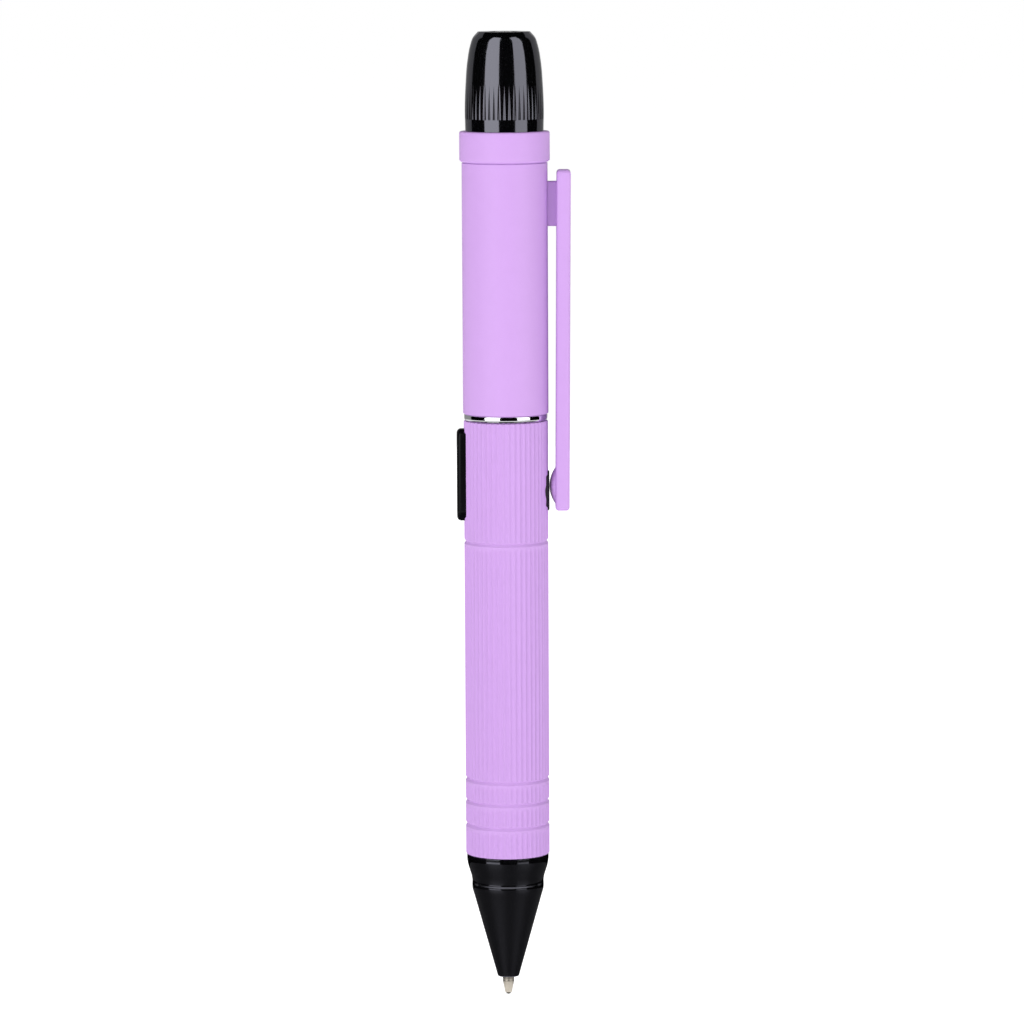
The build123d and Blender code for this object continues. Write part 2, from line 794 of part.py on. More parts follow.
with BuildPart() as led_holder:
    with BuildSketch(Plane.XY.offset(holder_z)):
        Circle(stack_radius)
    extrude(amount=holder_height)
    with BuildSketch(Plane.XY.offset(holder_z)):
        Circle(stack_radius - holder_wall)
    extrude(amount=holder_height - holder_top, mode=Mode.SUBTRACT)
    with BuildSketch(Plane.XY.offset(holder_z)):
        with Locations((lead_hole_offset, 0), (-lead_hole_offset, 0)):
            Circle(lead_hole_radius)
    extrude(amount=holder_height, mode=Mode.SUBTRACT)
led_holder.part.label = "led_holder"
export_step(led_holder.part, "parts/led_holder.step")

with BuildPart() as led_board:
    with BuildSketch(Plane.XY.offset(led_board_z)):
        Circle(lamp_radius)
    extrude(amount=led_board_thickness)
led_board.part.label = "led_board"
export_step(led_board.part, "parts/led_board.step")

with BuildPart() as led:
    with BuildSketch(Plane.XY.offset(led_z)):
        Rectangle(led_size, led_size)
    extrude(amount=led_base)
    with Locations((0, 0, led_z + led_base)):
        Sphere(led_dome_radius, arc_size1=0, align=(Align.CENTER, Align.CENTER, Align.MIN))
led.part.label = "led"
export_step(led.part, "parts/led.step")

throat_radius = led_dome_radius + reflector_throat_clearance
mouth_radius = lamp_radius - reflector_rim
foot_radius = lamp_radius - reflector_foot
foot_top_z = led_z + led_base + reflector_foot_gap

with BuildPart() as reflector:
    with BuildSketch(Plane.XZ):
        with BuildLine():
            Polyline(
                (throat_radius, foot_top_z),
                (foot_radius, foot_top_z),
                (foot_radius, led_z),
                (lamp_radius, led_z),
                (lamp_radius, lens_z),
                (mouth_radius, lens_z),
            )
            SagittaArc((mouth_radius, lens_z), (throat_radius, foot_top_z), reflector_bow)
        make_face()
    revolve(axis=Axis.Z)
reflector.part.label = "reflector"
export_step(reflector.part, "parts/reflector.step")

with BuildPart() as lens:
    with BuildSketch(Plane.XZ):
        with BuildLine():
            TangentArc(
                (0, lens_top_z),
                (lens_stem_radius, lens_top_z - lens_dome),
                tangent=(1, 0),
            )
            Polyline(
                (lens_stem_radius, lens_top_z - lens_dome),
                (lens_stem_radius, lens_z + lens_flange),
                (lamp_radius, lens_z + lens_flange),
                (lamp_radius, lens_z),
                (0, lens_z),
                (0, lens_top_z),
            )
        make_face()
    revolve(axis=Axis.Z)
lens.part.label = "lens"
export_step(lens.part, "parts/lens.step")

with BuildPart() as lens_o_ring:
    with Locations((0, 0, lens_z + lens_flange + lens_seal_section)):
        Torus((lens_stem_radius + lamp_radius) / 2, lens_seal_section)
lens_o_ring.part.label = "lens_o_ring"
export_step(lens_o_ring.part, "parts/lens_o_ring.step")
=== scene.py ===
import json
import math

import bmesh
import bpy
import numpy as np
from mathutils import Matrix, Vector

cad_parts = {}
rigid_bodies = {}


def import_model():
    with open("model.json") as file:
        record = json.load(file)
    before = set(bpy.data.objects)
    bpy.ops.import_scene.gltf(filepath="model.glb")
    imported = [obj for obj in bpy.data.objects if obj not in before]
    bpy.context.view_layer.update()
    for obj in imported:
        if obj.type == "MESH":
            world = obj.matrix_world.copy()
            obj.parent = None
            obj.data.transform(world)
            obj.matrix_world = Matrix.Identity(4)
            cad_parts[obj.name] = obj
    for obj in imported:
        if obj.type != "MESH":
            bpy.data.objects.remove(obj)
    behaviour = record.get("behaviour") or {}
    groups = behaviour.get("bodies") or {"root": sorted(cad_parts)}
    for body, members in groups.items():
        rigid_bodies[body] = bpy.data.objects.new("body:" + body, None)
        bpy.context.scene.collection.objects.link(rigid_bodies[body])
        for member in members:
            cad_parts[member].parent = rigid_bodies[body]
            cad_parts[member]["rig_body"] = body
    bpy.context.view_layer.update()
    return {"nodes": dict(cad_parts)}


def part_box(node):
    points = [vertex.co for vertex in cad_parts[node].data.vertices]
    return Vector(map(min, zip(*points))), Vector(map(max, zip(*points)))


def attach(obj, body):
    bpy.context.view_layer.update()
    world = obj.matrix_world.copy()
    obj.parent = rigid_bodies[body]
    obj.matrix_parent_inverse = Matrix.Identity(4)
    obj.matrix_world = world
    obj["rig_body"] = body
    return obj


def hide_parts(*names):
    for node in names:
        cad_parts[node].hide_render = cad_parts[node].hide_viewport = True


# A lavender metal ballpoint with an ultraviolet lamp in its ribbed black head, standing on
# its point. Lengths in the tables are millimetres, radii are from the pen's own axis (Z).

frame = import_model()
bpy.context.scene.view_settings.view_transform = "Standard"
mm = 0.001


def span(node):
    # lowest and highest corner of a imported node, in millimetres
    low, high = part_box(node)
    return np.array(low) / mm, np.array(high) / mm


def gridMesh(name, grid, wrapRows=False, capEnds=False):
    # grid[i, j] is the surface at step i along the outline and step j round it; four neighbours
    # make a face, the last column joins the first, and so does the last row of a closed wall
    rows, columns = grid.shape[:2]
    index = np.arange(rows * columns).reshape(rows, columns)
    if wrapRows:
        low, high = index, np.roll(index, -1, axis=0)
    else:
        low, high = index[:-1], index[1:]
    faces = np.stack([low, np.roll(low, -1, 1), np.roll(high, -1, 1), high], axis=-1).reshape(-1, 4).tolist()
    if capEnds:
        faces += [index[0, ::-1].tolist(), index[-1].tolist()]
    mesh = bpy.data.meshes.new(name)
    mesh.from_pydata((grid.reshape(-1, 3) * mm).tolist(), [], faces)
    work = bmesh.new()
    work.from_mesh(mesh)
    bmesh.ops.remove_doubles(work, verts=work.verts, dist=1e-7)
    bmesh.ops.dissolve_degenerate(work, edges=work.edges, dist=1e-8)
    bmesh.ops.recalc_face_normals(work, faces=work.faces)
    work.to_mesh(mesh)
    work.free()
    return mesh


def turnedGrid(radius, height, columns):
    # point(i, j) = (r cos a, r sin a, z): an outline turned once round the pen's axis, where the
    # radius may also change with the angle a
    angle = np.linspace(0, 2 * math.pi, columns, endpoint=False)
    radius = np.asarray(radius, float)
    if radius.ndim == 1:
        radius = np.repeat(radius[:, None], columns, axis=1)
    height = np.repeat(np.asarray(height, float)[:, None], columns, axis=1)
    return np.stack([radius * np.cos(angle), radius * np.sin(angle), height], axis=-1)


def curveThrough(points, count):
    # cubic Hermite curve through the points; each slope comes from the points on either side
    p = np.array(points, float)
    t = np.concatenate([[0], np.cumsum(np.hypot(*np.diff(p, axis=0).T))])
    slope = np.gradient(p, t, axis=0)
    s = np.linspace(0, t[-1], count)
    k = np.clip(np.searchsorted(t, s, side="right") - 1, 0, len(t) - 2)
    h = (t[k + 1] - t[k])[:, None]
    u = (s[:, None] - t[k][:, None]) / h
    return ((1 + 2 * u) * (1 - u) ** 2 * p[k] + u * (1 - u) ** 2 * h * slope[k]
            + u * u * (3 - 2 * u) * p[k + 1] + u * u * (u - 1) * h * slope[k + 1])


def softCorners(corners, steps=6):
    # closed outline of straight runs; each corner (r, z, cut) is bridged from cut before it to cut
    # after it by the parabola (1-u)^2 a + 2u(1-u) p + u^2 b
    c = np.array(corners, float)
    p = c[:, :2]
    u = np.linspace(0, 1, steps)[None, :, None]
    before, after = np.roll(p, 1, axis=0) - p, np.roll(p, -1, axis=0) - p
    a = p + before / np.linalg.norm(before, axis=1)[:, None] * c[:, 2:]
    b = p + after / np.linalg.norm(after, axis=1)[:, None] * c[:, 2:]
    path = (1 - u) ** 2 * a[:, None] + 2 * u * (1 - u) * p[:, None] + u * u * b[:, None]
    path = path.reshape(-1, 2)
    keep = np.linalg.norm(path - np.roll(path, 1, axis=0), axis=1) > 1e-6
    return path[keep]


def roundedLoop(halfWide, halfLong, radius, inset, steps=10):
    # rounded rectangle drawn in by inset: four quarter circles about centres set in by the radius
    halfWide, halfLong = halfWide - inset, halfLong - inset
    radius = min(max(radius - inset, 0.02), halfWide, halfLong)
    turn = np.linspace(0, math.pi / 2, steps)
    quarters = [(1, 1, 0), (-1, 1, 1), (-1, -1, 2), (1, -1, 3)]
    return np.concatenate([np.stack([
        sideA * (halfWide - radius) + radius * np.cos(turn + quarter * math.pi / 2),
        sideB * (halfLong - radius) + radius * np.sin(turn + quarter * math.pi / 2)], axis=-1)
        for sideA, sideB, quarter in quarters])


def bridge(a, p, b, steps):
    # parabola from a to b that turns towards the corner p: (1-u)^2 a + 2u(1-u) p + u^2 b
    u = np.linspace(0, 1, steps)[:, None]
    return (1 - u) ** 2 * np.array(a) + 2 * u * (1 - u) * np.array(p) + u * u * np.array(b)


def quarterRound(distance, radius):
    # how far a rounded rim is drawn in at a distance from its end: r - sqrt(r^2 - (r - d)^2)
    d = np.clip(distance, 0, radius)
    return radius - np.sqrt(radius ** 2 - (radius - d) ** 2)


def smoothStep(x):
    # 3 x^2 - 2 x^3 between 0 and 1
    x = np.clip(x, 0, 1)
    return x * x * (3 - 2 * x)


def rimRows(start, radius, inward, steps=5):
    # heights that follow a quarter-round rim evenly along its arc
    return start + inward * radius * (1 - np.cos(np.linspace(0, math.pi / 2, steps)))


def place(name, mesh, body, nodes, material, sharp=32):
    # adds the mesh to the scene as the piece that stands for the named nodes of a body; edges
    # that turn by more than the sharp angle stay crisp
    mesh.shade_smooth()
    mesh.set_sharp_from_angle(angle=math.radians(sharp))
    piece = bpy.data.objects.new(name, mesh)
    bpy.context.scene.collection.objects.link(piece)
    mesh.materials.clear()
    mesh.materials.append(material)
    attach(piece, body)
    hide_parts(*nodes)
    return piece


def cutBy(mesh, *cutters):
    # the mesh less each cutter, worked out exactly
    target = bpy.data.objects.new("cutTarget", mesh)
    bpy.context.scene.collection.objects.link(target)
    helpers = []
    for cutterMesh in cutters:
        helper = bpy.data.objects.new("cutHelper", cutterMesh)
        bpy.context.scene.collection.objects.link(helper)
        cut = target.modifiers.new("cut", "BOOLEAN")
        cut.operation, cut.solver, cut.object = "DIFFERENCE", "EXACT", helper
        helpers.append(helper)
    ready = target.evaluated_get(bpy.context.evaluated_depsgraph_get())
    result = bpy.data.meshes.new_from_object(ready)
    for extra in helpers + [target]:
        bpy.data.objects.remove(extra)
    return result


def prismAlongX(name, loop, centreZ, xFrom, xTo):
    # a loop in the YZ plane carried straight along X
    ring = np.stack([np.zeros(len(loop)), loop[:, 0], loop[:, 1] + centreZ], axis=-1)
    grid = np.stack([ring + [x, 0, 0] for x in (xFrom, xTo)])
    return gridMesh(name, grid, capEnds=True)


def newGroup(name, inputs, outputs):
    # an empty shader group whose inputs carry plain values, with its two end nodes
    group = bpy.data.node_groups.new(name, "ShaderNodeTree")
    for label, value in inputs.items():
        socket = group.interface.new_socket(label, in_out="INPUT", socket_type="NodeSocketFloat")
        socket.default_value = value
    for label in outputs:
        group.interface.new_socket(label, in_out="OUTPUT", socket_type="NodeSocketFloat")
    return group, group.nodes.new("NodeGroupInput"), group.nodes.new("NodeGroupOutput")


def mathNode(tree, operation, a, b=0.0, clamp=False):
    # a operation b, where each is a number or another node's output
    node = tree.nodes.new("ShaderNodeMath")
    node.operation, node.use_clamp = operation, clamp
    for socket, value in zip(node.inputs, (a, b)):
        if isinstance(value, (int, float)):
            socket.default_value = value
        else:
            tree.links.new(value, socket)
    return node.outputs[0]


def makeGrain():
    # even fine grain: two octaves of noise on the piece's own coordinates
    tree, source, result = newGroup("fineGrain", {"Size": 0.2, "Low": 0.0, "High": 1.0}, ["Value", "Height"])
    coords = tree.nodes.new("ShaderNodeTexCoord")
    noise = tree.nodes.new("ShaderNodeTexNoise")
    noise.inputs["Detail"].default_value = 3.0
    noise.inputs["Roughness"].default_value = 0.6
    tree.links.new(coords.outputs["Object"], noise.inputs["Vector"])
    tree.links.new(mathNode(tree, "DIVIDE", 1000.0, source.outputs["Size"]), noise.inputs["Scale"])
    spread = tree.nodes.new("ShaderNodeMapRange")
    spread.inputs["From Min"].default_value = 0.3
    spread.inputs["From Max"].default_value = 0.7
    tree.links.new(noise.outputs["Fac"], spread.inputs["Value"])
    tree.links.new(source.outputs["Low"], spread.inputs["To Min"])
    tree.links.new(source.outputs["High"], spread.inputs["To Max"])
    tree.links.new(spread.outputs["Result"], result.inputs["Value"])
    tree.links.new(noise.outputs["Fac"], result.inputs["Height"])
    return tree


# tool rings: turn is 2 pi for each millimetre of height, waver how far the rings stray
turning = {"turn": 6283.2, "noiseScale": 4000.0, "waver": 9.0, "waveShare": 0.3}


def makeTurning():
    # fine tool rings along the pen's axis: a sine of z / pitch, pushed about by noise along z
    tree, source, result = newGroup("toolRings", {"Pitch": 0.1, "Waver": 0.4}, ["Height"])
    coords = tree.nodes.new("ShaderNodeTexCoord")
    apart = tree.nodes.new("ShaderNodeSeparateXYZ")
    noise = tree.nodes.new("ShaderNodeTexNoise")
    noise.noise_dimensions = "1D"
    noise.inputs["Scale"].default_value = turning["noiseScale"]
    noise.inputs["Detail"].default_value = 4.0
    tree.links.new(coords.outputs["Object"], apart.inputs[0])
    tree.links.new(apart.outputs["Z"], noise.inputs["W"])
    along = mathNode(tree, "MULTIPLY", apart.outputs["Z"], turning["turn"])
    turns = mathNode(tree, "DIVIDE", along, source.outputs["Pitch"])
    wander = mathNode(tree, "MULTIPLY", noise.outputs["Fac"], source.outputs["Waver"])
    stray = mathNode(tree, "MULTIPLY", wander, turning["waver"])
    wave = mathNode(tree, "SINE", mathNode(tree, "ADD", turns, stray))
    blended = mathNode(tree, "ADD", mathNode(tree, "MULTIPLY", wave, turning["waveShare"]), wander)
    tree.links.new(blended, result.inputs["Height"])
    return tree


def makeHandling():
    # broad soft patches where fingers have been, and a sparse sprinkle of dust
    tree, source, result = newGroup("handling", {"Patch": 9.0, "Speck": 0.6, "Cover": 0.06},
                                    ["Smear", "Dust"])
    coords = tree.nodes.new("ShaderNodeTexCoord")
    noise = tree.nodes.new("ShaderNodeTexNoise")
    noise.inputs["Detail"].default_value = 5.0
    cells = tree.nodes.new("ShaderNodeTexVoronoi")
    tree.links.new(coords.outputs["Object"], noise.inputs["Vector"])
    tree.links.new(coords.outputs["Object"], cells.inputs["Vector"])
    tree.links.new(mathNode(tree, "DIVIDE", 1000.0, source.outputs["Patch"]), noise.inputs["Scale"])
    tree.links.new(mathNode(tree, "DIVIDE", 1000.0, source.outputs["Speck"]), cells.inputs["Scale"])
    smear = tree.nodes.new("ShaderNodeMapRange")
    smear.interpolation_type = "SMOOTHSTEP"
    smear.inputs["From Min"].default_value = 0.45
    smear.inputs["From Max"].default_value = 0.75
    tree.links.new(noise.outputs["Fac"], smear.inputs["Value"])
    tree.links.new(smear.outputs["Result"], result.inputs["Smear"])
    speck = mathNode(tree, "LESS_THAN", cells.outputs["Distance"], source.outputs["Cover"])
    tree.links.new(speck, result.inputs["Dust"])
    return tree


grain, toolRings, handling = makeGrain(), makeTurning(), makeHandling()
print("stage: shader groups made")


def useGroup(material, group, **values):
    # one shared group placed in a material with values of its own
    node = material.node_tree.nodes.new("ShaderNodeGroup")
    node.node_tree = group
    for label, value in values.items():
        node.inputs[label].default_value = value
    return node


def finishOf(name, colour, roughness, metallic=0.0, grainSize=0.2, grainHeight=0.004, tone=0.04,
             roughSpread=0.05, rings=None, smear=0.0, dust=0.0, **constants):
    # one surface: its colour varies by tone, its roughness by roughSpread, and grain, tool rings
    # and handling marks add their share; the heights are millimetres
    material = bpy.data.materials.new(name)
    material.use_nodes = True
    tree = material.node_tree
    shader = tree.nodes["Principled BSDF"]
    shader.inputs["Metallic"].default_value = metallic
    for label, value in constants.items():
        shader.inputs[label.replace("_", " ")].default_value = value
    fine = useGroup(material, grain, Size=grainSize)
    broad = useGroup(material, grain, Size=grainSize * 14)
    marks = useGroup(material, handling)
    shades = tree.nodes.new("ShaderNodeMix")
    shades.data_type = "RGBA"
    shades.inputs["A"].default_value = [c * (1 - tone) for c in colour] + [1]
    shades.inputs["B"].default_value = [min(c * (1 + tone), 1) for c in colour] + [1]
    mixed = mathNode(tree, "ADD", mathNode(tree, "MULTIPLY", fine.outputs["Value"], 0.6),
                     mathNode(tree, "MULTIPLY", broad.outputs["Value"], 0.4), clamp=True)
    tree.links.new(mixed, shades.inputs["Factor"])
    dusty = tree.nodes.new("ShaderNodeMix")
    dusty.data_type = "RGBA"
    dusty.inputs["B"].default_value = [0.55, 0.55, 0.56, 1]
    tree.links.new(shades.outputs["Result"], dusty.inputs["A"])
    tree.links.new(mathNode(tree, "MULTIPLY", marks.outputs["Dust"], dust), dusty.inputs["Factor"])
    tree.links.new(dusty.outputs["Result"], shader.inputs["Base Color"])
    rough = mathNode(tree, "ADD", roughness - roughSpread / 2,
                     mathNode(tree, "MULTIPLY", fine.outputs["Value"], roughSpread))
    rough = mathNode(tree, "ADD", rough, mathNode(tree, "MULTIPLY", marks.outputs["Smear"], smear))
    rough = mathNode(tree, "ADD", rough, mathNode(tree, "MULTIPLY", marks.outputs["Dust"], dust), clamp=True)
    tree.links.new(rough, shader.inputs["Roughness"])
    relief = mathNode(tree, "MULTIPLY", fine.outputs["Height"], grainHeight)
    if rings:
        pitch, depth = rings
        turned = useGroup(material, toolRings, Pitch=pitch)
        relief = mathNode(tree, "ADD", relief, mathNode(tree, "MULTIPLY", turned.outputs["Height"], depth))
    bump = tree.nodes.new("ShaderNodeBump")
    bump.inputs["Distance"].default_value = mm
    tree.links.new(relief, bump.inputs["Height"])
    tree.links.new(bump.outputs["Normal"], shader.inputs["Normal"])
    return material


lavender = {"colour": (0.565, 0.335, 0.72), "roughness": 0.42, "grainSize": 0.16, "grainHeight": 0.0035,
            "tone": 0.02, "roughSpread": 0.08, "smear": 0.03, "Specular_IOR_Level": 0.22}
finishes = {
    "lavender_fluted": finishOf("lavenderFluted", **lavender),
    "lavender_smooth": finishOf("lavenderSmooth", **lavender),
    "lavender_clip": finishOf("lavenderClip", **lavender),
    "black_gloss": finishOf("blackLacquer", (0.0015, 0.0015, 0.0018), 0.08, grainSize=1.3,
                            grainHeight=0.0012, tone=0.2, roughSpread=0.02, smear=0.03, dust=0.05,
                            IOR=2.2, Specular_Tint=(0.85, 0.85, 1.0, 1.0)),
    "black_button": finishOf("blackButtonSatin", (0.002, 0.002, 0.003), 0.24, grainSize=0.12,
                             grainHeight=0.003, tone=0.15, smear=0.03, Specular_IOR_Level=0.15),
    "black_plastic": finishOf("blackMoulded", (0.02, 0.02, 0.021), 0.5, grainSize=0.18, tone=0.12),
    "black_rubber": finishOf("blackRubber", (0.012, 0.012, 0.013), 0.66, grainSize=0.1,
                             grainHeight=0.006, tone=0.2, smear=0.05),
    "chrome": finishOf("chromePlate", (0.86, 0.87, 0.89), 0.06, 1.0, grainSize=0.5, grainHeight=0.0004,
                       tone=0.01, roughSpread=0.02, rings=(0.09, 0.0002), smear=0.03),
    "nickel_silver": finishOf("nickelSilver", (0.68, 0.62, 0.53), 0.3, 0.85, grainSize=0.08,
                              grainHeight=0.001, tone=0.08, rings=(0.06, 0.0015)),
    "refill_metal": finishOf("refillBrass", (0.68, 0.56, 0.32), 0.3, 1.0, grainSize=0.2,
                             grainHeight=0.001, tone=0.06, rings=(0.12, 0.001)),
    "ball_metal": finishOf("ballCarbide", (0.42, 0.37, 0.32), 0.16, 1.0, grainSize=0.05,
                           grainHeight=0.0006, tone=0.2),
    "ink": finishOf("inkPaste", (0.004, 0.006, 0.03), 0.25, grainSize=0.6, grainHeight=0.002, tone=0.2),
    "grease": finishOf("followerGrease", (0.72, 0.62, 0.38), 0.3, grainSize=0.5, grainHeight=0.002,
                       tone=0.06, Subsurface_Weight=0.2, Subsurface_Scale=0.001),
    "green_board": finishOf("boardResist", (0.012, 0.14, 0.05), 0.32, grainSize=0.5, grainHeight=0.003,
                            tone=0.25),
    "white_board": finishOf("boardWhite", (0.78, 0.78, 0.76), 0.4, grainSize=0.4, tone=0.03),
    "contact_metal": finishOf("contactPlate", (0.78, 0.66, 0.38), 0.24, 1.0, grainSize=0.25,
                              grainHeight=0.001, tone=0.05, smear=0.1),
    "spring_steel": finishOf("springSteel", (0.6, 0.6, 0.61), 0.28, 1.0, grainSize=0.1,
                             grainHeight=0.001, tone=0.08),
    "cell_jacket": finishOf("cellJacket", (0.09, 0.11, 0.16), 0.3, grainSize=0.7, grainHeight=0.002,
                            tone=0.08, smear=0.1, Coat_Weight=0.3),
    "holder_brass": finishOf("holderBrass", (0.72, 0.54, 0.26), 0.3, 1.0, grainSize=0.2,
                             grainHeight=0.001, tone=0.06, rings=(0.1, 0.001)),
    "reflector_metal": finishOf("reflectorSilver", (0.88, 0.88, 0.9), 0.1, 1.0, grainSize=0.6,
                                grainHeight=0.0006, tone=0.02, rings=(0.15, 0.0004)),
    "led_resin": finishOf("lampResin", (0.75, 0.72, 0.6), 0.12, grainSize=0.6, grainHeight=0.0005,
                          tone=0.06, Transmission_Weight=0.5, IOR=1.5),
    "lens_glass": finishOf("lensClear", (0.9, 0.92, 0.95), 0.05, grainSize=1.0, grainHeight=0.0004,
                           tone=0.01, roughSpread=0.02, smear=0.04, Transmission_Weight=0.85, IOR=1.49),
}
print("stage: finishes made")

ball = {"columns": 64, "rows": 33}


def makeBall():
    # a whole sphere: latitude by longitude, closed at both poles
    low, high = span("refill_ball")
    radius = (high[2] - low[2]) / 2
    tilt = np.linspace(-math.pi / 2, math.pi / 2, ball["rows"])
    mesh = gridMesh("writingBall", turnedGrid(radius * np.cos(tilt), low[2] + radius + radius * np.sin(tilt),
                                              ball["columns"]))
    place("writingBall", mesh, "ball", ["refill_ball"], finishes["ball_metal"])


point = {"columns": 96, "lipRadius": 0.43, "lipWall": 0.1, "lipZ": 0.27, "slimRadius": 0.885, "slimZ": 2.1,
         "slimTopZ": 6.1, "shoulder": 0.8, "neckZ": 10.0, "ringZ": 2.35, "ringDepth": 0.03,
         "ringHalf": 0.06, "lipRise": 0.03, "coneIn": 0.03, "coneDrop": 0.12, "spigotRadius": 0.935,
         "inkHole": 0.2, "holeZ": 0.9, "seat": (0.47, 0.45)}


def makePoint():
    # outline of the refill's point turned round the axis: rolled lip, cone, slim part with a fine
    # turned ring, shoulder, body and spigot, and back down through the ink hole
    low, high = span("refill_point")
    bodyRadius = high[0]
    p = point
    outline = softCorners([
        (p["lipRadius"], p["lipZ"], 0.01), (p["lipRadius"] + p["lipWall"], p["lipZ"] + p["lipRise"], 0.03),
        (p["slimRadius"] - p["coneIn"], p["slimZ"] - p["coneDrop"], 0.05),
        (p["slimRadius"], p["slimZ"], 0.05), (p["slimRadius"], p["ringZ"] - p["ringHalf"], 0.01),
        (p["slimRadius"] - p["ringDepth"], p["ringZ"], 0.02),
        (p["slimRadius"], p["ringZ"] + p["ringHalf"], 0.01), (p["slimRadius"], p["slimTopZ"], 0.1),
        (bodyRadius, p["slimTopZ"] + p["shoulder"], 0.1), (bodyRadius, p["neckZ"], 0.03),
        (p["spigotRadius"], p["neckZ"], 0.02), (p["spigotRadius"], high[2], 0.05),
        (p["inkHole"], high[2], 0.02), (p["inkHole"], p["holeZ"], 0.02), (*p["seat"], 0.05)])
    mesh = gridMesh("refillPoint", turnedGrid(outline[:, 0], outline[:, 1], p["columns"]), wrapRows=True)
    place("refillPoint", mesh, "barrel", ["refill_point"], finishes["nickel_silver"])


nose = {"columns": 256, "tipRadius": 1.64, "tipRound": 0.16, "coneTop": (5.23, 15.8),
        "swell": [(5.42, 16.43), (5.535, 16.9), (5.575, 17.45), (5.56, 18.2), (5.65, 18.85),
                  (5.925, 19.75), (6.2, 20.7), (6.33, 21.5)],
        "shoulder": 6.35, "shoulderZ": 22.47, "edge": 0.1, "pointBore": 0.95, "refillBore": 1.3,
        "boreStepZ": (6.0, 6.5), "spigotRadius": 5.2, "grooveRadius": 4.75, "grooveZ": (23.44, 24.1),
        "threadPitch": 0.5, "threadDepth": 0.14, "threadZ": (24.8, 28.9), "chamfer": 0.4}


def makeNose():
    # turned outline: straight taper, rounded band, hollow, flare, then the spigot with its seal
    # groove and thread rings, and back down through the stepped bore
    low, high = span("nose_cone")
    n = nose
    slope = (n["coneTop"][0] - n["tipRadius"]) / (n["coneTop"][1] - low[2])
    tip = bridge((n["tipRadius"] - n["tipRound"], low[2]), (n["tipRadius"], low[2]),
                 (n["tipRadius"] + n["tipRound"] * slope, low[2] + n["tipRound"]), 8)
    swell = curveThrough([n["coneTop"]] + n["swell"] + [(n["shoulder"], n["shoulderZ"] - n["edge"])], 90)
    crests = np.arange(n["threadZ"][0], n["threadZ"][1], n["threadPitch"] / 2)
    zigzag = np.stack([n["spigotRadius"] - n["threadDepth"] * (np.arange(len(crests)) % 2), crests], axis=-1)
    upper = np.array([(n["shoulder"] - n["edge"], n["shoulderZ"]), (n["spigotRadius"], n["shoulderZ"]),
                      (n["spigotRadius"], n["grooveZ"][0]), (n["grooveRadius"], n["grooveZ"][0]),
                      (n["grooveRadius"], n["grooveZ"][1]), (n["spigotRadius"], n["grooveZ"][1])])
    inner = np.array([(n["spigotRadius"] - n["chamfer"], high[2]), (n["refillBore"] + n["chamfer"], high[2]),
                      (n["refillBore"], high[2] - n["chamfer"]), (n["refillBore"], n["boreStepZ"][1]),
                      (n["pointBore"], n["boreStepZ"][0]), (n["pointBore"], low[2])])
    coneRun = np.linspace(tip[-1], swell[0], 12)[1:-1]
    outline = np.concatenate([tip, coneRun, swell, upper, zigzag, inner])
    mesh = gridMesh("noseCone", turnedGrid(outline[:, 0], outline[:, 1], n["columns"]), wrapRows=True)
    place("noseCone", mesh, "nose", ["nose_cone"], finishes["black_gloss"])


makeBall()
makePoint()
makeNose()
print("stage: writing end made")

barrel = {"radius": 6.51, "flutes": 48, "perFlute": 12, "fluteDepth": 0.2, "scoopPower": 0.8,
          "grooves": (27.2, 30.9, 34.35, 71.45), "grooveDepth": 0.26, "grooveHalf": 0.38,
          "grooveSoft": 0.03, "fade": 0.9, "rim": 0.15, "frontBore": 5.25, "rearBore": 5.92,
          "boreStepZ": 73.05, "gap": 0.08, "frontStep": 3.0, "rearStep": 0.7}
buttonSize = {"halfWide": 1.7, "halfLong": 7.175, "edge": 0.65, "flange": 0.35, "flangeBack": 0.5,
              "backGap": 0.35}
padSize = {"halfWide": 2.2, "halfLong": 3.1, "rise": 0.19, "centreZ": 79.2, "rimIn": 0.07,
           "rimDrop": 0.14, "gap": 0.03}
cutReach = (3.0, 9.0)  # how far from the axis a cutter begins and ends


